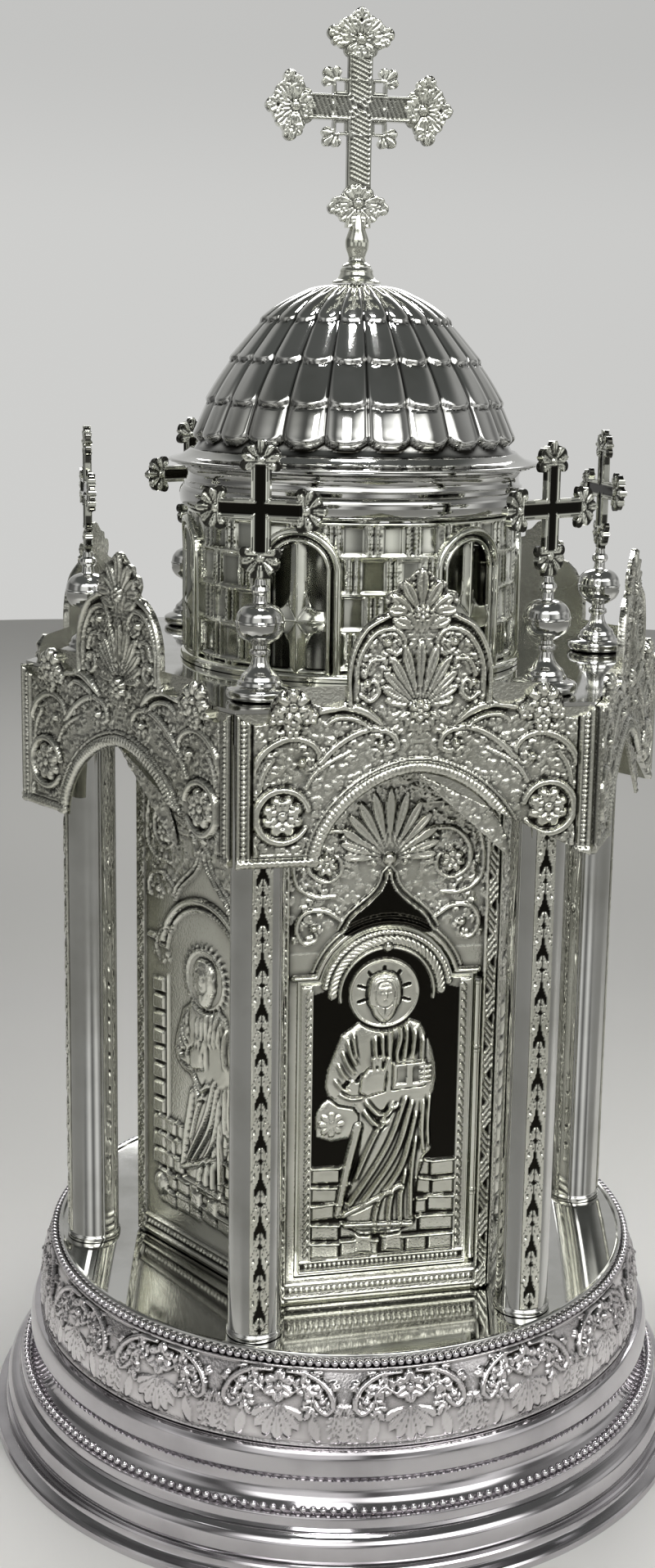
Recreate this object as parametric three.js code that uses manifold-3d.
// Altar tabernacle: a six-sided silver-plated shrine on a round stepped base.
// Millimetres, +Z up. The origin is the centre of the underside and the door faces -Y.
// The body stands between a floor plate and a six-sided deck, which six columns and their
// rods clamp together. Arched canopies hang round the deck, and a drum and a dome stand on it.

import * as THREE from 'three';
import { mergeVertices } from 'three/addons/utils/BufferGeometryUtils.js';
import Module from 'manifold-3d';

const wasm = await Module();
wasm.setup();

// General
const sideCount = 6;
const seatGap = 0.3; // between two pieces that rest on or against each other
const boltClearance = 0.3; // round a rod, peg or stud in its hole
const overrun = 1; // how far a cutting or joined shape runs past the face it meets

// Roundness
const baseSegments = 40;
const friezeSegments = 32; // two for each unit of its relief
const drumSegments = 36;
const columnSegments = 14;
const finialSegments = 10;
const pinSegments = 12;
const headSegments = 6;
const curveSteps = 2;
const edgeEase = 1; // small bevel or step at a turned edge

// Base
const footFlange = 5.5; // how far the foot stands out past the ledge
const footThickness = 4;
const ledgeStep = 1; // how far the ledge stands out past the roll
const ledgeTop = 8.5;
const rollStep = 6; // how far the roll stands out past the dark hollow above it
const rollTop = 22.5;
const hollowStep = 5.5; // how far the hollow stands out past the plain band
const hollowTop = 28.5;
const coveDepth = 4.5; // how far the cove draws in below the plain band
const coveTop = 44;
const bandStep = 5; // how far the plain band stands out past the frieze
const bandTop = 55;
const neckGap = 1.5; // between the frieze and the plain wall behind it
const baseHeight = 92; // top of the floor plate
const baseWall = 2.5;
const bottomPlateThickness = 3;
const bottomPlateLedge = 4;

// Frieze and pearl rings
const friezeFlare = 6.5; // how far its foot stands out past its top
const friezeWall = 1.5;
const pearlRadius = 1.7;
const pearlOverhang = 0.5; // of the frieze's top past the middle of the upper pearls
const lowerPearlInset = 3.1; // from the hollow's face in to the middle of the lower pearls

// Relief of the frieze, two rows of forms on flat facets, with heights above a row's lower edge
const friezeRise = 1.8;
const shellHeight = 3;
const shellReach = 13;
const shellPetals = 5;
const bouquetHeight = 7.5;
const bouquetHalfWidth = 12;
const bouquetHalfHeight = 6.5;
const scrollPlace = 21.3; // of its inner edge, from the unit's middle
const scrollWidth = 3.5;
const scrollHeight = 11.5;
const friezeLeafHalf = 3.7;
const friezeLeafEnd = 3; // from the leaf's two ends to the frieze's edges

// Floor plate
const floorThickness = 3;
const floorMargin = 4.4; // from the columns' feet out to the floor's edge
const floorLipWidth = 2.5;
const floorLipHeight = 1.5;

// Body, measured to its flats
const bodyApothem = 84;
const bodyWall = 1.5;
const bodyFloorThickness = 2;
const panelThickness = 3.2;
const panelCornerGap = 0.35; // half of the joint between two neighbouring panels

// Relief of the panels, with its heights above the floor
const groundSink = 0.9; // of the relief's ground behind the panels' mean face
const frameRise = 0.6; // of the frame before it
const frameWidth = 6.2;
const frameFoot = 11;
const mouldingWidth = 3;
const mouldingRise = 1.8; // above the ground, like the next three
const lowRise = 1;
const robeRise = 2;
const headRise = 3;
const ogeeHalfWidth = 20.5;
const ogeeFoot = 172.6;
const ogeeTop = 200.5;
const palmetteHeight = 206;
const palmetteReach = 30;
const palmettePetals = 7;
const palmetteSpread = 1.45; // to each side of upright
const blossomPlace = 28.4;
const blossomHeight = 204.6;
const blossomRadius = 6;
const doorMouldingOut = 2.2; // from the door's outline to the moulding's outer edge

// Figures
const sideHaloHeight = 141;
const iconHaloHeight = 147;
const haloRadius = 14.2;
const headHalfWidth = 5.8;
const headHalfHeight = 9;
const figureFoot = 27;
const elbowHalfWidth = 20;
const robeHalfWidth = 14;
const foldWidth = 2.6;
const stonesHalfWidth = 32;
const stonesLow = 17.5;
const stoneHeight = 17;
const stoneWidth = 7;
const stoneRows = 2;

// Columns, with the rods that clamp the deck to the floor
const bodyToColumn = 9.26; // from the body's corner to the column
const columnRadius = 11.7;
const columnWall = 1.5;
const columnPlug = 6; // height of the plug that centres the foot on the rod
const columnHeight = 278.4;
const columnFootRadius = 12.6;
const columnFootHeight = 2.5;
const rodRadius = 3;
const rodHeadRadius = 5.5;
const rodHeadHeight = 4;
const rodReach = 8; // how far the rod goes up into the finial
const rodEndGap = 1; // left above the rod's end

// Deck
const deckThickness = 3;
const deckMargin = 10.9; // from the columns out to the skirt
const skirtDepth = 11;
const skirtWall = 2;

// Canopies, from the bottom edge of the legs
const canopyThickness = 2.2;
const canopyCornerGap = 0.4; // half of the joint between two neighbouring canopies
const canopyDrop = 65; // from the deck's top down to the legs' bottom edge
const canopyCornerHeight = 64;
const canopyDipHeight = 58.5;
const canopyDipPlace = 62.5;
const flowerPlace = 52;
const flowerHeight = 74;
const flowerEnd = 40; // where the flower meets the crest's shoulder
const crestShoulderHeight = 65;
const crestHalfWidth = 29.5;
const crestHeight = 103;
const crownHalfWidth = 15;
const crownStep = 4; // the upright edge below the crown's point
const crownHeight = 121.5;
const archHalfWidth = 40.5;
const archHeight = 37.6;
const archSquareness = 1.78; // 2 is an ellipse, less is more pointed
const archSteps = 8;

// Finials, above the deck
const finialDiscRadius = 13.9;
const finialDiscHeight = 5.5;
const finialStepRadius = 9;
const finialStepHeight = 3; // above the disc
const finialNeckRadius = 3;
const finialNeckHeight = 19;
const finialCollar = 1.3; // how far the neck's collar and the tip's stand out
const finialCollarHalf = 2;
const finialBallRadius = 10.2;
const finialBallHeight = 31.5; // centre of the ball
const finialBallHalfHeight = 7.5;
const finialHeight = 48.9;
const finialTipRadius = 2.6;

// Corner crosses
const cornerCrossThickness = 2.6;
const cornerBarHalf = 4.1;
const cornerArm = 21.2;
const cornerLowerArm = 28;
const cornerTuft = 6.8; // how far the petals stand out past a bar
const cornerTuftLength = 7; // along a bar
const petalRound = 1; // how far a petal's edges draw in

// Door
const doorHalfWidth = 39.6;
const doorBottom = 13; // above the floor
const doorShoulder = 152;
const doorArchHalf = 30;
const doorArchRise = 24;
const doorGap = 0.5;
const doorOverlap = 3; // how far the leaf covers the edge of the doorway
const doorLeafThickness = 1.6;
const iconMargin = 1.2;
const iconBorder = 8; // from the icon's edge to the sunk field round the figure
const iconFieldSink = 0.8;
const iconThickness = 2;
const doorwaySteps = 12;

// Hinge
const hingeRadius = 1.7;
const hingePinRadius = 0.9;
const hingeRunning = 0.1;
const hingeKnuckleLow = 49; // above the floor, lower end of the door's knuckle
const hingeKnuckleHigh = 117;
const hingeEndMargin = 3;
const hingeAxisDepth = 3.4; // the pin's axis in front of the body's flat
const pinHeadRadius = 1.6;
const pinHeadHeight = 0.8;

// Door catch
const catchHeight = 83; // above the floor
const catchStudRadius = 1.5;
const catchStudLength = 9;
const catchStudInset = 5.1; // from the edge of the leaf
const catchPlay = 0.4;
const catchWall = 1.4;
const catchDepth = 8;
const catchReach = 15.5;

// Drum
const drumRadius = 75.4;
const drumWall = 2;
const drumHeight = 69;
const drumFootWidth = 3.8;
const drumFootHeight = 3.6;
const windowHalfWidth = 12.1;
const windowSill = 5;
const windowHeadRoom = 22; // from where the round head starts to the drum's top
const mullionWidth = 7.4;
const windowBarLow = 21;
const windowBarHigh = 30.5;
const windowSteps = 8;

// Cornice ring and dome
const corniceHeight = 20.4;
const corniceFlange = 5.4; // how far its flat rims reach in past the drum's face
const corniceRollStep = 4.4; // how far the roll stands out past the drum
const corniceRollHeight = 5; // to where the roll is widest
const corniceNeck = 2; // how far the cove draws in above the roll
const corniceFlare = 2.5; // how far its top stands out past the roll
const corniceWall = 1.6;
const brimOverhang = 2.7; // past the cornice
const brimThickness = 1;
const domeSetback = 2.9; // of the dome's foot behind the drum's face
const domeFootHeight = 9;
const domeHeight = 79.5;
const domeShoulderInset = 26.5; // from the foot in to the shoulder
const domeShoulderHeight = 68;
const domeCrownInset = 16; // from the shoulder in to the crown's edge
const domeWall = 2.4;
const domeCrownDrop = 3; // from the flat crown to where the crown's curve starts
const domeFlutes = 24;
const fluteDepth = 1.2;
const scallopShares = [0.05, 0.31, 0.63, 0.93]; // of the way from the foot to the shoulder
const scallopStep = 1.1; // how far each row of scallops stands out past the one below

// Main cross with its boss, stud and nut
const bossRadius = 11;
const bossTopRadius = 6.6;
const bossHeight = 7;
const crossCentre = 69.2; // above the boss
const crossArm = 42.5;
const crossBarHalf = 5.7;
const crossThickness = 3.6;
const crossLobe = 15.2;
const crossLobeLength = 22;
const crossLowerArm = 52;
const crossLowerLobe = 41; // where the lower lobe is widest, below the centre
const crossLowerLobeHalf = 4.5;
const glorySquare = 12.4;
const gloryTuft = 17.2;
const gloryTuftWidth = 4;
const gloryHole = 4.6;
const crossRim = 0.9; // beside each opening
const stemRadius = 5.2;
const stemWaist = 3.7;
const stemJoin = 6; // how far the stem runs up the foot of the cross, and how tall its end tapers
const studRadius = 2.6;
const nutRadius = 6;
const nutHeight = 4;

// Worked out from the sizes above
const sideTurn = (2 * Math.PI) / sideCount;
const halfTurn = sideTurn / 2;
const sideSlope = Math.tan(halfTurn);
const floorTop = baseHeight;
const floorUnderside = floorTop - floorThickness;
const bodyBottom = floorTop + seatGap;
const columnTop = bodyBottom + columnHeight;
const deckUnderside = columnTop + seatGap;
const deckTop = deckUnderside + deckThickness;
const canopyBottom = deckTop - canopyDrop;
const panelBack = bodyApothem + seatGap;
const panelFront = panelBack + panelThickness;
const columnCircle = panelFront / Math.cos(halfTurn) + bodyToColumn + columnRadius;
const floorLipRadius = columnCircle + columnFootRadius + floorMargin;
const upperPearlCircle = floorLipRadius + seatGap + pearlRadius;
const friezeTopRadius = upperPearlCircle + pearlOverhang;
const friezeFootRadius = friezeTopRadius + friezeFlare;
const neckRadius = friezeTopRadius - friezeWall - neckGap;
const bandRadius = friezeFootRadius + bandStep;
const coveRadius = bandRadius - coveDepth;
const hollowRadius = bandRadius + hollowStep;
const lowerPearlCircle = hollowRadius - lowerPearlInset;
const rollRadius = hollowRadius + rollStep;
const ledgeRadius = rollRadius + ledgeStep;
const footRadius = ledgeRadius + footFlange;
const deckApothem = columnCircle * Math.cos(halfTurn) + columnRadius + deckMargin + skirtWall;
const canopyBack = deckApothem + seatGap;
const canopyHalfWidth = canopyBack * sideSlope - canopyCornerGap;
const hingeX = doorHalfWidth + seatGap + hingeRadius;
const hingeY = -(bodyApothem + hingeAxisDepth);
const drumBottom = deckTop + seatGap;
const drumTop = drumBottom + drumHeight;
const windowSpring = drumHeight - windowHeadRoom;
const corniceInner = drumRadius - corniceFlange;
const corniceRollRadius = drumRadius + corniceRollStep;
const corniceTopRadius = corniceRollRadius + corniceFlare;
const brimRadius = corniceTopRadius + brimOverhang;
const domeFootRadius = drumRadius - domeSetback;
const domeShoulderRadius = domeFootRadius - domeShoulderInset;
const domeCrownRadius = domeShoulderRadius - domeCrownInset;
const corniceBottom = drumTop + seatGap;
const domeBottom = corniceBottom + corniceHeight + seatGap;
const domeTop = domeBottom + domeHeight;
const bossBottom = domeTop + seatGap;
const bossTop = bossBottom + bossHeight;

const finishes = {
  silver: { color: 0xc9cbc6, roughness: 0.18, metalness: 1 },
  warmSilver: { color: 0xc2c4b0, roughness: 0.24, metalness: 1 },
  relief: { color: 0xb9bba8, roughness: 0.34, metalness: 1 },
  steel: { color: 0x8f9290, roughness: 0.4, metalness: 1 },
  felt: { color: 0x2c2522, roughness: 0.95, metalness: 0 },
};

// Merges the corners of a geometry and turns its faces outward.
function closed(geometry) {
  geometry.deleteAttribute('normal');
  geometry.deleteAttribute('uv');
  const merged = mergeVertices(geometry);
  const places = merged.attributes.position;
  const corner = [new THREE.Vector3(), new THREE.Vector3(), new THREE.Vector3()];
  const kept = [];
  let volume = 0;
  for (let i = 0; i < merged.index.count; i += 3) {
    const ids = [merged.index.getX(i), merged.index.getX(i + 1), merged.index.getX(i + 2)];
    if (ids[0] === ids[1] || ids[1] === ids[2] || ids[2] === ids[0]) continue;
    ids.forEach((id, k) => corner[k].fromBufferAttribute(places, id));
    volume += corner[0].dot(corner[1].clone().cross(corner[2]));
    kept.push(ids);
  }
  const faces = volume < 0 ? kept.map(([a, b, c]) => [a, c, b]) : kept;
  merged.setIndex(faces.flat());
  return merged;
}

function toSolid(geometry) {
  const clean = closed(geometry);
  return new wasm.Manifold(new wasm.Mesh({
    numProp: 3,
    vertProperties: Float32Array.from(clean.attributes.position.array),
    triVerts: Uint32Array.from(clean.index.array),
  }));
}

function toGeometry(solid) {
  const mesh = solid.getMesh();
  const geometry = new THREE.BufferGeometry();
  geometry.setAttribute('position', new THREE.BufferAttribute(Float32Array.from(mesh.vertProperties), 3));
  geometry.setIndex(Array.from(mesh.triVerts));
  return geometry;
}

const cut = (body, ...tools) => toGeometry(
  tools.reduce((rest, tool) => rest.subtract(toSolid(tool)), toSolid(body)));
const join = (body, ...others) => toGeometry(
  others.reduce((sum, other) => sum.add(toSolid(other)), toSolid(body)));

// Turns an outline of radius and height about the Z axis.
function turned(path, segments) {
  const lathe = new THREE.LatheGeometry(path.getPoints(curveSteps), segments);
  return closed(lathe.rotateX(Math.PI / 2));
}

const outline = (radius, height) => new THREE.Path().moveTo(radius, height);

// A plate in the plane of a side: the shape's x runs along the side, its y runs up, and the
// plate reaches from the distance near to the distance far in front of the axis.
function upright(shape, near, far, steps = curveSteps) {
  const plate = new THREE.ExtrudeGeometry(shape, {
    depth: far - near,
    bevelEnabled: false,
    curveSegments: steps,
  });
  return closed(plate.rotateX(Math.PI / 2).translate(0, -near, 0));
}

function flatPlate(shape, low, high) {
  const plate = new THREE.ExtrudeGeometry(shape, { depth: high - low, bevelEnabled: false });
  return closed(plate.translate(0, 0, low));
}

function rod(radius, low, high, segments) {
  const cylinder = new THREE.CylinderGeometry(radius, radius, high - low, segments);
  return closed(cylinder.rotateX(Math.PI / 2).translate(0, 0, (low + high) / 2));
}

// A six-sided outline with its flats at the given distance, one of them facing -Y.
function hexagon(apothem) {
  const radius = apothem / Math.cos(halfTurn);
  const points = [];
  for (let i = 0; i < sideCount; i += 1) {
    const angle = -Math.PI / 2 + halfTurn + i * sideTurn;
    points.push(new THREE.Vector2(radius * Math.cos(angle), radius * Math.sin(angle)));
  }
  return new THREE.Shape(points);
}

function rectangle(left, right, low, high) {
  return new THREE.Shape([
    new THREE.Vector2(left, low),
    new THREE.Vector2(right, low),
    new THREE.Vector2(right, high),
    new THREE.Vector2(left, high),
  ]);
}

const tabernacle = new THREE.Group();
tabernacle.name = 'altar_tabernacle';

function addTo(group, name, geometry, finish) {
  geometry.computeVertexNormals();
  const mesh = new THREE.Mesh(geometry, new THREE.MeshStandardMaterial(finishes[finish]));
  mesh.name = name;
  group.add(mesh);
  return mesh;
}

const add = (name, geometry, finish) => addTo(tabernacle, name, geometry, finish);

// A group turned to one of the six sides, or to one of the six corners between them.
function sideGroup(index) {
  const group = new THREE.Group();
  group.rotation.z = index * sideTurn;
  tabernacle.add(group);
  return group;
}

function cornerGroup(index) {
  const group = sideGroup(index);
  group.rotation.z += halfTurn;
  return group;
}

// Base
function baseShell() {
  const path = outline(ledgeRadius - baseWall - seatGap, bottomPlateLedge);
  path.lineTo(ledgeRadius - seatGap, bottomPlateLedge);
  path.lineTo(ledgeRadius - seatGap, 0);
  path.lineTo(footRadius, 0);
  path.lineTo(footRadius, footThickness);
  path.lineTo(ledgeRadius, footThickness + edgeEase);
  path.lineTo(ledgeRadius, ledgeTop);
  path.lineTo(rollRadius - baseWall, ledgeTop + edgeEase);
  const rollMiddle = (ledgeTop + rollTop) / 2;
  path.quadraticCurveTo(rollRadius + baseWall, rollMiddle, hollowRadius + edgeEase, rollTop);
  path.lineTo(hollowRadius, rollTop + edgeEase);
  path.lineTo(hollowRadius, hollowTop - edgeEase);
  path.lineTo(hollowRadius - edgeEase, hollowTop);
  path.lineTo(lowerPearlCircle - pearlRadius - seatGap, hollowTop);
  const coveMiddle = (hollowTop + coveTop) / 2;
  path.quadraticCurveTo(coveRadius - 2 * edgeEase, coveMiddle, bandRadius - 2 * edgeEase, coveTop);
  path.lineTo(bandRadius, coveTop + 2 * edgeEase);
  path.lineTo(bandRadius, bandTop - edgeEase);
  path.lineTo(bandRadius - edgeEase, bandTop);
  path.lineTo(neckRadius, bandTop);
  path.lineTo(neckRadius, floorUnderside - seatGap);
  path.lineTo(neckRadius - baseWall, floorUnderside - seatGap);
  path.lineTo(neckRadius - baseWall, bandTop - baseWall);
  path.lineTo(coveRadius - baseWall, bandTop - baseWall);
  path.lineTo(coveRadius - baseWall, hollowTop - baseWall);
  path.lineTo(hollowRadius - baseWall, rollTop - baseWall);
  path.lineTo(ledgeRadius - baseWall - seatGap, ledgeTop);
  path.closePath();
  return turned(path, baseSegments);
}

// A fan of pointed petals over a foot, spread to each side of upright.
function fanShape(across, up, reach, petals, spread) {
  const points = [new THREE.Vector2(across, up - reach / petals)];
  for (let i = 0; i < 2 * petals - 1; i += 1) {
    const angle = spread - (spread * i) / (petals - 1);
    const radius = i % 2 ? 0.6 * reach : reach * (0.75 + 0.25 * Math.cos(angle));
    points.push(new THREE.Vector2(across + radius * Math.sin(angle), up + radius * Math.cos(angle)));
  }
  return new THREE.Shape(points);
}

function discShape(across, up, halfWidth, halfHeight, corners) {
  const points = [];
  for (let i = 0; i < corners; i += 1) {
    const angle = (2 * Math.PI * i) / corners;
    points.push(new THREE.Vector2(across + halfWidth * Math.cos(angle), up + halfHeight * Math.sin(angle)));
  }
  return new THREE.Shape(points);
}

// A strip of even width along an open line.
function stripShape(line, width) {
  const left = [];
  const right = [];
  line.forEach((point, i) => {
    const ahead = line[Math.min(i + 1, line.length - 1)];
    const behind = line[Math.max(i - 1, 0)];
    const aside = ahead.clone().sub(behind).normalize().multiplyScalar(width / 2);
    left.push(new THREE.Vector2(point.x - aside.y, point.y + aside.x));
    right.unshift(new THREE.Vector2(point.x + aside.y, point.y - aside.x));
  });
  return new THREE.Shape([...left, ...right]);
}

const friezeFoot = bandTop + seatGap;
const friezeHead = floorUnderside - seatGap;
const friezeWaist = (friezeFoot + friezeHead) / 2;
const friezeWaistRadius = friezeTopRadius + 0.75 * friezeFlare;
const facetTurn = (2 * Math.PI) / friezeSegments;

// A form on a facet of the frieze's lower or upper row, the given number of facets round.
function onFrieze(shape, upper, facet) {
  const low = upper ? friezeWaistRadius : friezeFootRadius;
  const high = upper ? friezeTopRadius : friezeWaistRadius;
  const bottom = upper ? friezeWaist : friezeFoot;
  const lean = Math.atan2((low - high) * Math.cos(facetTurn / 2), friezeWaist - friezeFoot);
  const form = upright(shape, -friezeWall / 2, friezeRise).rotateX(-lean);
  return form.translate(0, -low * Math.cos(facetTurn / 2), bottom).rotateZ(facet * facetTurn);
}

// One unit of the frieze's relief: a shell with a bouquet over it on one facet, and on the next
// one a pointed leaf with the stem of a scroll on each side of it.
function friezeUnit(facet) {
  const rowHeight = friezeWaist - friezeFoot;
  const pitch = 2 * friezeFootRadius * Math.sin(facetTurn / 2);
  const leafLow = [[0, friezeLeafEnd], [friezeLeafHalf, rowHeight], [-friezeLeafHalf, rowHeight]];
  const leafHigh = [[-friezeLeafHalf, 0], [friezeLeafHalf, 0], [0, rowHeight - friezeLeafEnd]];
  const near = pitch - scrollPlace;
  const stem = (side) => [
    [side * near, friezeLeafEnd],
    [side * near, rowHeight],
    [side * (near - scrollWidth), rowHeight],
    [side * (near - scrollWidth), friezeLeafEnd],
  ];
  const hook = (side) => [
    [side * near, 0],
    [side * (near + scrollWidth), scrollHeight],
    [side * near, scrollHeight + scrollWidth],
    [side * (near - scrollWidth), 0],
  ];
  const drawn = (points) => new THREE.Shape(points.map(([across, up]) => new THREE.Vector2(across, up)));
  return [
    onFrieze(fanShape(0, shellHeight, shellReach, shellPetals, Math.PI / 3), false, facet),
    onFrieze(discShape(0, bouquetHeight, bouquetHalfWidth, bouquetHalfHeight, headSegments), true, facet),
    onFrieze(drawn(leafLow), false, facet + 1),
    onFrieze(drawn(leafHigh), true, facet + 1),
    ...[-1, 1].flatMap((side) => [
      onFrieze(drawn(stem(side)), false, facet + 1),
      onFrieze(drawn(hook(side)), true, facet + 1),
    ]),
  ];
}

function friezeBand() {
  const path = outline(friezeFootRadius - friezeWall, friezeFoot).lineTo(friezeFootRadius, friezeFoot);
  path.lineTo(friezeWaistRadius, friezeWaist).lineTo(friezeTopRadius, friezeHead);
  path.lineTo(friezeTopRadius - friezeWall, friezeHead);
  path.lineTo(friezeWaistRadius - friezeWall, friezeWaist);
  path.closePath();
  const forms = [];
  for (let facet = 0; facet < friezeSegments; facet += 2) forms.push(...friezeUnit(facet));
  return join(turned(path, friezeSegments).rotateZ(facetTurn / 2), ...forms);
}

function pearlRing(circle, bottom) {
  const path = outline(circle - pearlRadius, bottom + pearlRadius);
  path.lineTo(circle, bottom).lineTo(circle + pearlRadius, bottom + pearlRadius);
  path.lineTo(circle, bottom + 2 * pearlRadius);
  path.closePath();
  return turned(path, baseSegments);
}

function atCorner(geometry) {
  const place = new THREE.Matrix4().makeTranslation(0, -columnCircle, 0);
  return geometry.applyMatrix4(place);
}

function cornerHoles(low, high) {
  const holes = [];
  for (let i = 0; i < sideCount; i += 1) {
    const hole = atCorner(rod(rodRadius + boltClearance, low, high, pinSegments));
    holes.push(hole.rotateZ(halfTurn + i * sideTurn));
  }
  return holes;
}

function floorPlate() {
  const path = outline(0, floorUnderside).lineTo(floorLipRadius, floorUnderside);
  path.lineTo(floorLipRadius, floorTop + floorLipHeight);
  path.lineTo(floorLipRadius - floorLipWidth, floorTop + floorLipHeight);
  path.lineTo(floorLipRadius - floorLipWidth, floorTop);
  path.lineTo(0, floorTop);
  return cut(turned(path, baseSegments), ...cornerHoles(floorUnderside - overrun, floorTop + overrun));
}

add('base_shell', baseShell(), 'silver');
add('bottom_plate', rod(ledgeRadius - 2 * seatGap, 0, bottomPlateThickness, baseSegments), 'felt');
add('frieze_band', friezeBand(), 'silver');
add('lower_pearl_ring', pearlRing(lowerPearlCircle, hollowTop + seatGap), 'silver');
add('upper_pearl_ring', pearlRing(upperPearlCircle, floorUnderside), 'silver');
add('floor_plate', floorPlate(), 'warmSilver');

// Columns and rods
function column() {
  const bore = rodRadius + boltClearance;
  const path = outline(bore, bodyBottom).lineTo(columnFootRadius, bodyBottom);
  path.lineTo(columnFootRadius, bodyBottom + columnFootHeight);
  path.lineTo(columnRadius, bodyBottom + columnFootHeight);
  path.lineTo(columnRadius, columnTop);
  path.lineTo(columnRadius - columnWall, columnTop);
  path.lineTo(columnRadius - columnWall, bodyBottom + columnPlug);
  path.lineTo(bore, bodyBottom + columnPlug);
  path.closePath();
  return turned(path, columnSegments);
}

function columnRod() {
  const headTop = floorUnderside - seatGap;
  const head = rod(rodHeadRadius, headTop - rodHeadHeight, headTop, headSegments);
  return join(rod(rodRadius, headTop - overrun, deckTop + rodReach, pinSegments), head);
}

// Deck
function canopyDeck() {
  const skirtBottom = deckUnderside - skirtDepth;
  const plate = flatPlate(hexagon(deckApothem), skirtBottom, deckTop);
  const pocket = flatPlate(hexagon(deckApothem - skirtWall), skirtBottom - overrun, deckUnderside);
  return cut(plate, pocket, ...cornerHoles(deckUnderside - overrun, deckTop + overrun));
}

add('canopy_deck', canopyDeck(), 'warmSilver');

// A whole outline from its right half, which runs from the lowest point to the highest. A flat
// edge across the middle line has no point of its own there.
function mirrored(half) {
  const left = half.filter((point) => point.x > 0).reverse();
  return new THREE.Shape([...half, ...left.map((point) => new THREE.Vector2(-point.x, point.y))]);
}

// Canopies
function canopyShape() {
  const half = [];
  for (let i = 0; i <= archSteps; i += 1) {
    const angle = ((Math.PI / 2) * i) / archSteps;
    const across = archHalfWidth * Math.sin(angle) ** (2 / archSquareness);
    const up = archHeight * Math.max(Math.cos(angle), 0) ** (2 / archSquareness);
    half.push(new THREE.Vector2(across, up));
  }
  const rim = outline(canopyHalfWidth, 0).lineTo(canopyHalfWidth, canopyCornerHeight);
  rim.quadraticCurveTo(canopyDipPlace, canopyCornerHeight, canopyDipPlace, canopyDipHeight);
  rim.quadraticCurveTo(canopyDipPlace, flowerHeight, flowerPlace, flowerHeight);
  const flowerSide = (flowerPlace + flowerEnd) / 2;
  rim.quadraticCurveTo(flowerSide, flowerHeight, flowerEnd, crestShoulderHeight + edgeEase);
  rim.lineTo(crestHalfWidth, crestShoulderHeight);
  rim.quadraticCurveTo(crestHalfWidth, crestHeight - crownStep, crownHalfWidth, crestHeight);
  rim.lineTo(crownHalfWidth, crestHeight + crownStep);
  rim.quadraticCurveTo(crownHalfWidth / 2, crestHeight + 2 * crownStep, 0, crownHeight);
  return mirrored([...half, ...rim.getPoints(curveSteps)]);
}

function canopy() {
  const plate = upright(canopyShape(), canopyBack, canopyBack + canopyThickness);
  return plate.translate(0, 0, canopyBottom);
}

for (let i = 0; i < sideCount; i += 1) {
  addTo(sideGroup(i), `canopy_${i + 1}`, canopy(), 'relief');
}

// Finials
function finial() {
  const bore = rodRadius + boltClearance;
  const path = outline(0, rodReach + rodEndGap).lineTo(bore, rodReach + rodEndGap);
  path.lineTo(bore, 0);
  path.lineTo(finialStepRadius, 0);
  path.lineTo(finialDiscRadius, finialDiscHeight / 3);
  path.lineTo(finialDiscRadius, (2 * finialDiscHeight) / 3);
  path.lineTo(finialStepRadius + edgeEase, finialDiscHeight);
  const stepTop = finialDiscHeight + finialStepHeight;
  path.lineTo(finialStepRadius, stepTop);
  path.quadraticCurveTo(finialNeckRadius, stepTop, finialNeckRadius, finialNeckHeight - finialCollarHalf);
  path.lineTo(finialNeckRadius + finialCollar, finialNeckHeight);
  path.lineTo(finialNeckRadius, finialNeckHeight + finialCollarHalf);
  const ballLow = finialBallHeight - finialBallHalfHeight;
  const ballHigh = finialBallHeight + finialBallHalfHeight;
  path.lineTo(finialNeckRadius + edgeEase, ballLow);
  path.quadraticCurveTo(finialBallRadius, ballLow, finialBallRadius, finialBallHeight);
  path.quadraticCurveTo(finialBallRadius, ballHigh, finialNeckRadius, ballHigh);
  path.lineTo(finialTipRadius, (ballHigh + finialHeight) / 2);
  path.lineTo(finialTipRadius + finialCollar, finialHeight - finialCollarHalf);
  path.lineTo(finialTipRadius, finialHeight);
  path.lineTo(0, finialHeight);
  return atCorner(turned(path, finialSegments).translate(0, 0, drumBottom));
}

// One end of a cross's arm, as places across and along it: from the bar, round the petals
// at the sides, to the tip.
function petalledEnd(bar, length, lobe, start) {
  const middle = (start + length) / 2;
  return [
    [bar, start],
    [lobe, start + petalRound],
    [lobe, middle - petalRound],
    [bar + petalRound, middle + petalRound],
    [bar, length - 3 * petalRound],
    [0, length],
  ];
}

const upward = ([across, along]) => new THREE.Vector2(across, along);
const downward = ([across, along]) => new THREE.Vector2(across, -along);
const sidewaysBelow = ([across, along]) => new THREE.Vector2(along, -across);
const sidewaysAbove = ([across, along]) => new THREE.Vector2(along, across);

function cornerCross() {
  const tip = cornerArm + cornerTuft;
  const side = cornerBarHalf + cornerTuft - petalRound;
  const end = petalledEnd(cornerBarHalf, tip, side, cornerArm - cornerTuftLength);
  const foot = [
    [finialTipRadius, cornerLowerArm],
    [side - petalRound, cornerLowerArm - petalRound],
    [side - petalRound, cornerLowerArm - cornerTuftLength + petalRound],
    [cornerBarHalf, cornerLowerArm - cornerTuftLength],
    [cornerBarHalf, cornerBarHalf],
  ];
  const half = [
    ...foot.map(downward),
    ...end.map(sidewaysBelow),
    ...end.slice(0, -1).reverse().map(sidewaysAbove),
    new THREE.Vector2(cornerBarHalf, cornerBarHalf),
    ...end.map(upward),
  ];
  const back = columnCircle - cornerCrossThickness / 2;
  const plate = upright(mirrored(half), back, back + cornerCrossThickness);
  return plate.translate(0, 0, drumBottom + finialHeight + seatGap + cornerLowerArm);
}

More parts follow.
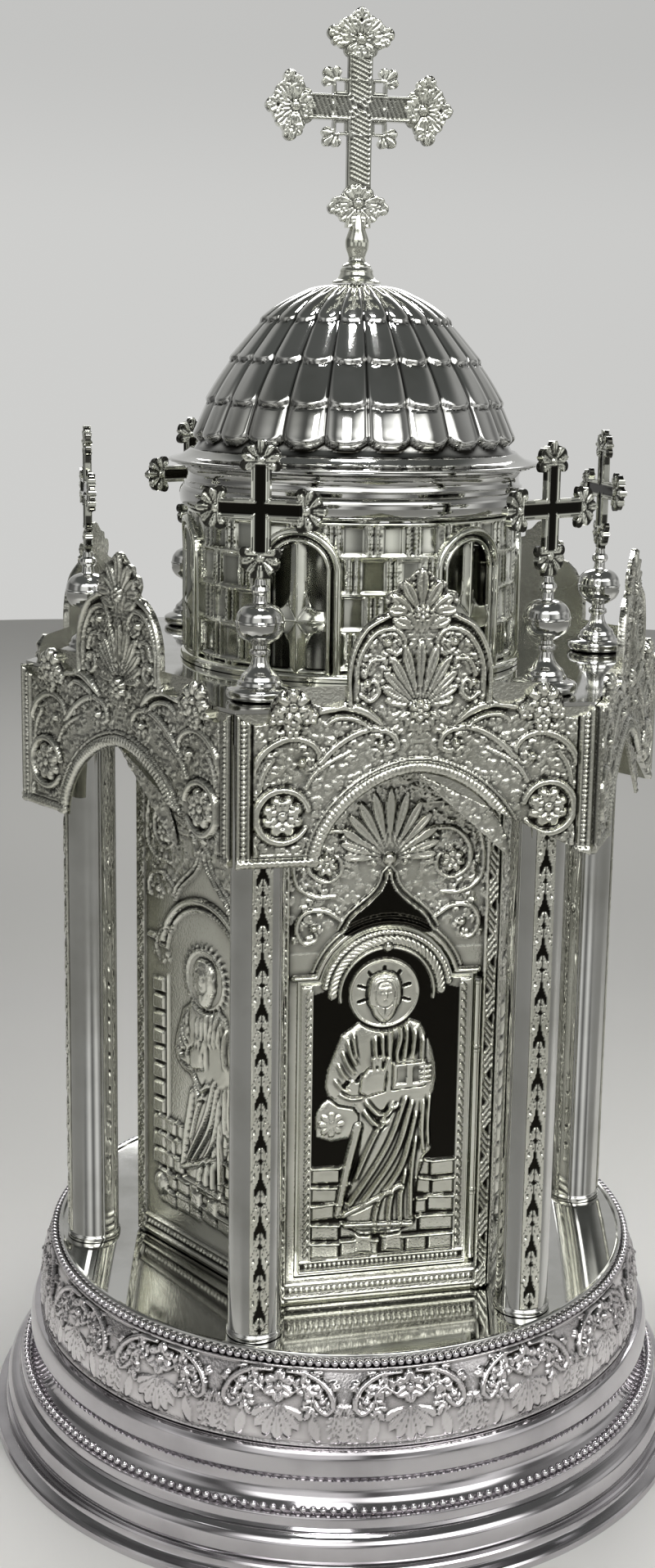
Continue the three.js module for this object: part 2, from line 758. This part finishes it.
for (let i = 0; i < sideCount; i += 1) {
  const group = cornerGroup(i);
  addTo(group, `column_${i + 1}`, atCorner(column()), 'silver');
  addTo(group, `column_rod_${i + 1}`, atCorner(columnRod()), 'steel');
  addTo(group, `finial_${i + 1}`, finial(), 'silver');
  addTo(group, `corner_cross_${i + 1}`, cornerCross(), 'warmSilver');
}

// Body
const panelGround = panelFront - groundSink;

// A panel with its frame round the sunk ground.
function panelBlank() {
  const frameFront = panelFront + frameRise;
  const back = panelBack * sideSlope - panelCornerGap;
  const front = frameFront * sideSlope - panelCornerGap;
  const plan = new THREE.Shape([
    new THREE.Vector2(-front, -frameFront),
    new THREE.Vector2(front, -frameFront),
    new THREE.Vector2(back, -panelBack),
    new THREE.Vector2(-back, -panelBack),
  ]);
  const half = panelFront * sideSlope - frameWidth;
  const field = rectangle(-half, half, floorTop + frameFoot, columnTop + overrun);
  return cut(flatPlate(plan, bodyBottom, columnTop), upright(field, panelGround, frameFront + overrun));
}

// The right half of the door's round head with its shoulder, drawn smaller by the inset.
function doorHead(inset, steps) {
  const archRadius = (doorArchHalf ** 2 + doorArchRise ** 2) / (2 * doorArchRise);
  const archCentre = doorShoulder + doorArchRise - archRadius;
  const radius = archRadius - inset;
  const start = Math.acos((doorShoulder - inset - archCentre) / radius);
  const half = [new THREE.Vector2(doorHalfWidth - inset, doorShoulder - inset)];
  for (let i = 0; i <= steps; i += 1) {
    const angle = start * (1 - i / steps);
    half.push(new THREE.Vector2(radius * Math.sin(angle), archCentre + radius * Math.cos(angle)));
  }
  return half;
}

function doorShape(inset) {
  const corner = new THREE.Vector2(doorHalfWidth - inset, doorBottom + inset);
  return mirrored([corner, ...doorHead(inset, doorwaySteps / 2)]);
}

// A form of the relief, standing out from a ground by the given rise.
function raised(shape, ground, rise) {
  return upright(shape, ground - groundSink, ground + rise).translate(0, 0, floorTop);
}

// The moulding round the door's head.
function headMoulding(ground) {
  const half = doorHead(mouldingWidth / 2 - doorMouldingOut, doorwaySteps / 4);
  const left = half.slice(0, -1).map((point) => new THREE.Vector2(-point.x, point.y));
  return raised(stripShape([...left, ...half.reverse()], mouldingWidth), ground, mouldingRise);
}

function ogeeMoulding(ground) {
  const middle = (ogeeFoot + ogeeTop) / 2;
  const line = new THREE.Path().moveTo(-ogeeHalfWidth, ogeeFoot);
  line.quadraticCurveTo(-ogeeHalfWidth, (ogeeFoot + middle) / 2, -ogeeHalfWidth / 2, middle);
  line.quadraticCurveTo(0, (middle + ogeeTop) / 2, 0, ogeeTop);
  line.quadraticCurveTo(0, (middle + ogeeTop) / 2, ogeeHalfWidth / 2, middle);
  line.quadraticCurveTo(ogeeHalfWidth, (ogeeFoot + middle) / 2, ogeeHalfWidth, ogeeFoot);
  return raised(stripShape(line.getPoints(curveSteps), mouldingWidth), ground, mouldingRise);
}

// What stands over the door and over each figure: palmette, blossoms, ogee and moulding.
function upperRelief(ground) {
  const palmette = fanShape(0, palmetteHeight, palmetteReach, palmettePetals, palmetteSpread);
  const radius = blossomRadius;
  const blossom = (side) => discShape(side * blossomPlace, blossomHeight, radius, radius, headSegments);
  return [
    raised(palmette, ground, mouldingRise),
    raised(blossom(-1), ground, robeRise),
    raised(blossom(1), ground, robeRise),
    ogeeMoulding(ground),
    headMoulding(ground),
  ];
}

// A pile of stones that steps down from the edge towards the figure's feet.
function stones(side) {
  const points = [new THREE.Vector2(side * stonesHalfWidth, stonesLow)];
  for (let i = 0; i < stoneRows; i += 1) {
    const high = stonesLow + (stoneRows - i) * stoneHeight;
    const across = side * (stonesHalfWidth - i * stoneWidth);
    points.push(new THREE.Vector2(across, high), new THREE.Vector2(across - side * stoneWidth, high));
  }
  points.push(new THREE.Vector2(side * (stonesHalfWidth - stoneRows * stoneWidth), stonesLow));
  return new THREE.Shape(points);
}

// A standing figure: its robe with three folds, the sleeve that lies across it, and the head
// on its halo. Heights on the robe are shares of the way from the feet to the neck.
function figure(haloHeight, ground) {
  const tall = haloHeight - haloRadius - figureFoot;
  const at = (across, share) => new THREE.Vector2(across, figureFoot + share * tall);
  const robe = new THREE.Shape([
    at(-robeHalfWidth, 0),
    at(robeHalfWidth, 0.08),
    at(elbowHalfWidth, 0.65),
    at(robeHalfWidth, 0.95),
    at(0, 1.02),
    at(-robeHalfWidth, 0.95),
    at(-elbowHalfWidth, 0.7),
    at(-robeHalfWidth, 0.55),
  ]);
  const sleeve = new THREE.Shape([
    at(-robeHalfWidth, 0.93),
    at(-elbowHalfWidth, 0.72),
    at(-robeHalfWidth, 0.6),
    at(0, 0.72),
    at(0, 0.8),
    at(-robeHalfWidth / 2, 0.76),
  ]);
  const fold = (across) => new THREE.Shape([
    at(across - foldWidth, 0.12),
    at(across, 0.12),
    at(across, 0.5),
  ]);
  return [
    raised(stones(-1), ground, lowRise),
    raised(stones(1), ground, lowRise),
    raised(robe, ground, robeRise),
    raised(discShape(0, haloHeight, haloRadius, haloRadius, 2 * headSegments), ground, lowRise),
    raised(discShape(0, haloHeight, headHalfWidth, headHalfHeight, headSegments), ground, headRise),
    raised(sleeve, ground, headRise),
    ...[-robeHalfWidth / 2, 0, robeHalfWidth / 2].map((across) => raised(fold(across), ground, headRise)),
  ];
}

function doorPlate(inset, near, far) {
  return upright(doorShape(inset), near, far).translate(0, 0, floorTop);
}

function bodyShell() {
  const outside = flatPlate(hexagon(bodyApothem), bodyBottom, columnTop);
  const inside = flatPlate(hexagon(bodyApothem - bodyWall), bodyBottom - overrun, columnTop + overrun);
  return cut(outside, inside, doorPlate(doorOverlap, bodyApothem - 2 * bodyWall, bodyApothem + overrun));
}

function frontPanel() {
  const far = panelFront + 2 * mouldingRise;
  const doorSpace = doorPlate(-doorGap, panelBack - overrun, far);
  const hingeEdge = hingeX + hingeRadius + seatGap;
  const hingeShape = rectangle(0, hingeEdge, doorBottom - doorGap, doorShoulder + doorGap);
  const hingeSpace = upright(hingeShape, panelBack - overrun, far).translate(0, 0, floorTop);
  return cut(join(panelBlank(), ...upperRelief(panelGround)), doorSpace, hingeSpace);
}

function sidePanel() {
  return join(panelBlank(), ...upperRelief(panelGround), ...figure(sideHaloHeight, panelGround));
}

const bodyFloorShape = hexagon(bodyApothem - bodyWall - seatGap);

add('body_shell', bodyShell(), 'silver');
add('body_floor', flatPlate(bodyFloorShape, bodyBottom, bodyBottom + bodyFloorThickness), 'silver');
add('front_panel', frontPanel(), 'relief');
for (let i = 1; i < sideCount; i += 1) {
  addTo(sideGroup(i), `side_panel_${i}`, sidePanel(), 'relief');
}

// Door and hinge
const leafFront = panelBack + doorLeafThickness;
const iconBack = leafFront + seatGap;

// The door's relief plate: its border stands round a sunk field with the figure.
function iconPanel() {
  const front = iconBack + iconThickness;
  const ground = front - iconFieldSink;
  const field = doorPlate(iconMargin + iconBorder, ground, front + overrun);
  return join(cut(doorPlate(iconMargin, iconBack, front), field), ...figure(iconHaloHeight, ground));
}

add('door_leaf', doorPlate(0, panelBack, leafFront), 'silver');
add('door_icon_panel', iconPanel(), 'relief');

function knuckle(low, high) {
  const bore = hingePinRadius + hingeRunning;
  const path = outline(bore, floorTop + low).lineTo(hingeRadius, floorTop + low);
  path.lineTo(hingeRadius, floorTop + high).lineTo(bore, floorTop + high);
  path.closePath();
  return turned(path, pinSegments).translate(hingeX, hingeY, 0);
}

function hingePin() {
  const low = floorTop + doorBottom + hingeEndMargin;
  const high = floorTop + doorShoulder - hingeEndMargin + seatGap;
  const path = outline(0, low).lineTo(hingePinRadius, low);
  path.lineTo(hingePinRadius, high).lineTo(pinHeadRadius, high);
  path.lineTo(pinHeadRadius, high + pinHeadHeight).lineTo(0, high + pinHeadHeight);
  return turned(path, pinSegments).translate(hingeX, hingeY, 0);
}

add('door_hinge_knuckle', knuckle(hingeKnuckleLow, hingeKnuckleHigh), 'silver');
add('lower_hinge_knuckle', knuckle(doorBottom + hingeEndMargin, hingeKnuckleLow - seatGap), 'silver');
add('upper_hinge_knuckle', knuckle(hingeKnuckleHigh + seatGap, doorShoulder - hingeEndMargin), 'silver');
add('hinge_pin', hingePin(), 'steel');

// Door catch: a stud on the leaf slides between the two prongs of a clip inside the body
const studX = -(doorHalfWidth - catchStudInset);
const catchGap = catchStudRadius + catchPlay;

function catchStud() {
  const stud = new THREE.CylinderGeometry(catchStudRadius, catchStudRadius, catchStudLength, pinSegments);
  const middle = catchStudLength / 2 - (panelBack - seatGap);
  return closed(stud.translate(studX, middle, floorTop + catchHeight));
}

function doorCatch() {
  const right = studX + catchGap + catchWall;
  const left = right - catchReach;
  const outer = catchGap + catchWall;
  const shape = new THREE.Shape([
    new THREE.Vector2(left, -outer),
    new THREE.Vector2(right, -outer),
    new THREE.Vector2(right, -catchGap),
    new THREE.Vector2(left + catchWall, -catchGap),
    new THREE.Vector2(left + catchWall, catchGap),
    new THREE.Vector2(right, catchGap),
    new THREE.Vector2(right, outer),
    new THREE.Vector2(left, outer),
  ]);
  const far = bodyApothem - bodyWall - seatGap;
  return upright(shape, far - catchDepth, far).translate(0, 0, floorTop + catchHeight);
}

add('catch_stud', catchStud(), 'steel');
add('door_catch', doorCatch(), 'steel');

// Drum
function windowLights() {
  const inner = mullionWidth / 2;
  const upper = [new THREE.Vector2(inner, windowBarHigh), new THREE.Vector2(windowHalfWidth, windowBarHigh)];
  const end = Math.acos(inner / windowHalfWidth);
  for (let i = 0; i <= windowSteps / 2; i += 1) {
    const angle = (2 * end * i) / windowSteps;
    const x = windowHalfWidth * Math.cos(angle);
    upper.push(new THREE.Vector2(x, windowSpring + windowHalfWidth * Math.sin(angle)));
  }
  const lower = rectangle(inner, windowHalfWidth, windowSill, windowBarLow);
  return [new THREE.Shape(upper), lower];
}

function drumShell() {
  const inner = drumRadius - drumWall;
  const path = outline(inner, drumBottom).lineTo(drumRadius, drumBottom);
  path.lineTo(drumRadius, drumTop).lineTo(inner, drumTop);
  path.closePath();
  const lights = [];
  for (let i = 0; i < sideCount; i += 1) {
    windowLights().forEach((shape) => {
      const right = upright(shape, inner - 2 * overrun, drumRadius + overrun).translate(0, 0, drumBottom);
      const left = right.clone().scale(-1, 1, 1);
      lights.push(right.rotateZ(halfTurn + i * sideTurn), left.rotateZ(halfTurn + i * sideTurn));
    });
  }
  return cut(turned(path, drumSegments), ...lights);
}

function drumFoot() {
  const inner = drumRadius + seatGap;
  const path = outline(inner, drumBottom).lineTo(inner + drumFootWidth, drumBottom);
  const top = drumBottom + drumFootHeight;
  path.quadraticCurveTo(inner + drumFootWidth, top, inner + edgeEase, top);
  path.lineTo(inner, top);
  path.closePath();
  return turned(path, drumSegments);
}

function drumCornice() {
  const waist = corniceBottom + corniceHeight / 2;
  const top = corniceBottom + corniceHeight;
  const neck = corniceRollRadius - corniceNeck;
  const path = outline(corniceInner, corniceBottom).lineTo(drumRadius + edgeEase, corniceBottom);
  path.quadraticCurveTo(
    corniceRollRadius,
    corniceBottom,
    corniceRollRadius,
    corniceBottom + corniceRollHeight,
  );
  path.lineTo(corniceRollRadius, waist - corniceNeck);
  path.lineTo(neck, waist);
  path.quadraticCurveTo(neck, (waist + top) / 2, corniceTopRadius, top);
  path.lineTo(corniceInner, top);
  path.lineTo(corniceInner, top - corniceWall);
  path.lineTo(neck - corniceWall, top - corniceWall);
  path.lineTo(neck - corniceWall, corniceBottom + corniceWall);
  path.lineTo(corniceInner, corniceBottom + corniceWall);
  path.closePath();
  return turned(path, drumSegments);
}

add('drum_shell', drumShell(), 'warmSilver');
add('drum_foot_ring', drumFoot(), 'silver');
add('drum_cornice', drumCornice(), 'silver');

// Dome
// Draws in every second seam of a turned body, from the height low up to the crown.
function fluted(geometry, low) {
  const places = geometry.attributes.position;
  for (let i = 0; i < places.count; i += 1) {
    const x = places.getX(i);
    const y = places.getY(i);
    const radius = Math.hypot(x, y);
    const seam = Math.round((Math.atan2(x, -y) * domeFlutes) / Math.PI);
    if (seam % 2 && radius > bossRadius + edgeEase && places.getZ(i) > low) {
      const share = (radius - (fluteDepth * radius) / domeFootRadius) / radius;
      places.setXY(i, x * share, y * share);
    }
  }
  return geometry;
}

function dome() {
  const foot = domeBottom + domeFootHeight;
  const shoulder = domeBottom + domeShoulderHeight;
  const rise = domeShoulderHeight - domeFootHeight;
  const footPoint = new THREE.Vector2(domeFootRadius, foot);
  const lowSteer = new THREE.Vector2(domeFootRadius - rise / 9, foot + rise / 3);
  const highSteer = new THREE.Vector2(domeShoulderRadius + rise / 6, shoulder - rise / 3);
  const shoulderPoint = new THREE.Vector2(domeShoulderRadius, shoulder);
  const swell = new THREE.CubicBezierCurve(footPoint, lowSteer, highSteer, shoulderPoint);
  const path = outline(0, domeBottom).lineTo(brimRadius, domeBottom);
  path.lineTo(brimRadius, domeBottom + brimThickness);
  path.quadraticCurveTo(domeFootRadius, domeBottom + brimThickness, domeFootRadius, foot);
  scallopShares.forEach((share) => {
    const edge = swell.getPoint(share);
    path.lineTo(edge.x, edge.y).lineTo(edge.x + scallopStep, edge.y);
  });
  const crown = domeTop - domeCrownDrop;
  path.quadraticCurveTo(domeShoulderRadius - domeCrownDrop, crown, domeCrownRadius, crown);
  path.lineTo(bossRadius, domeTop).lineTo(0, domeTop);

  const inside = outline(0, domeTop - domeWall).lineTo(bossRadius, domeTop - domeWall);
  inside.lineTo(domeCrownRadius - edgeEase, crown - domeWall - edgeEase);
  inside.lineTo(domeShoulderRadius - domeWall - edgeEase, shoulder - edgeEase);
  inside.quadraticCurveTo(highSteer.x - domeWall, highSteer.y, domeFootRadius - domeWall, foot);
  inside.lineTo(corniceInner, domeBottom + brimThickness + edgeEase);
  inside.lineTo(corniceInner, domeBottom - overrun).lineTo(0, domeBottom - overrun);
  const bore = rod(studRadius + boltClearance, domeTop - 2 * domeWall, domeTop + overrun, pinSegments);
  const body = fluted(turned(path, 2 * domeFlutes), foot);
  return cut(body, turned(inside, drumSegments), bore);
}

function domeBoss() {
  const bore = studRadius + boltClearance;
  const path = outline(bore, bossBottom).lineTo(bossRadius, bossBottom);
  path.quadraticCurveTo(bossTopRadius, bossBottom + edgeEase, bossTopRadius, bossTop);
  path.lineTo(bore, bossTop);
  path.closePath();
  return turned(path, columnSegments);
}

add('dome', dome(), 'silver');
add('dome_boss', domeBoss(), 'silver');

// Main cross with its stud, and the nut that holds it inside the dome
const nutTop = domeTop - domeWall - seatGap;
const nutBottom = nutTop - nutHeight;

function crossShape() {
  const end = petalledEnd(crossBarHalf, crossArm, crossLobe, crossArm - crossLobeLength);
  const foot = [
    [crossBarHalf, crossLowerArm],
    [crossLobe, crossLowerLobe + crossLowerLobeHalf],
    [crossLobe, crossLowerLobe],
    [crossBarHalf, crossLowerLobe - crossLowerLobeHalf],
    [crossBarHalf, glorySquare],
  ];
  const tuft = [
    [glorySquare - gloryTuftWidth, glorySquare],
    [gloryTuft - gloryTuftWidth, gloryTuft],
    [gloryTuft, gloryTuft],
    [gloryTuft, gloryTuft - gloryTuftWidth],
    [glorySquare, glorySquare - gloryTuftWidth],
    [glorySquare, crossBarHalf],
  ];
  const half = [
    ...foot.map(downward),
    ...tuft.map(downward),
    ...end.map(sidewaysBelow),
    ...end.slice(0, -1).reverse().map(sidewaysAbove),
    ...tuft.map(upward).reverse(),
    new THREE.Vector2(crossBarHalf, glorySquare),
    ...end.map(upward),
  ];
  return mirrored(half);
}

// The four square openings between the arms.
function gloryOpenings(centre) {
  const openings = [];
  const middle = crossBarHalf + crossRim + gloryHole / 2;
  for (let i = 0; i < 4; i += 1) {
    const x = middle * (i % 2 ? 1 : -1);
    const z = centre + middle * (i < 2 ? 1 : -1);
    openings.push(closed(new THREE.BoxGeometry(gloryHole, 2 * crossThickness, gloryHole).translate(x, 0, z)));
  }
  return openings;
}

function mainCross() {
  const centre = bossTop + crossCentre;
  const plate = upright(crossShape(), -crossThickness / 2, crossThickness / 2).translate(0, 0, centre);
  const stemBottom = bossTop + seatGap;
  const stemTop = centre - crossLowerArm + stemJoin;
  const path = outline(0, nutBottom - overrun).lineTo(studRadius, nutBottom - overrun);
  path.lineTo(studRadius, stemBottom);
  path.lineTo(bossTopRadius, stemBottom);
  path.quadraticCurveTo(stemWaist, stemBottom + seatGap, stemRadius, stemTop - stemJoin);
  path.lineTo(crossThickness / 2 + seatGap, stemTop);
  path.lineTo(0, stemTop);
  return join(cut(plate, ...gloryOpenings(centre)), turned(path, columnSegments));
}

function crossNut() {
  const bore = rod(studRadius + boltClearance, nutBottom - overrun, nutTop + overrun, pinSegments);
  return cut(rod(nutRadius, nutBottom, nutTop, headSegments), bore);
}

add('main_cross', mainCross(), 'warmSilver');
add('cross_nut', crossNut(), 'steel');

export default tabernacle;
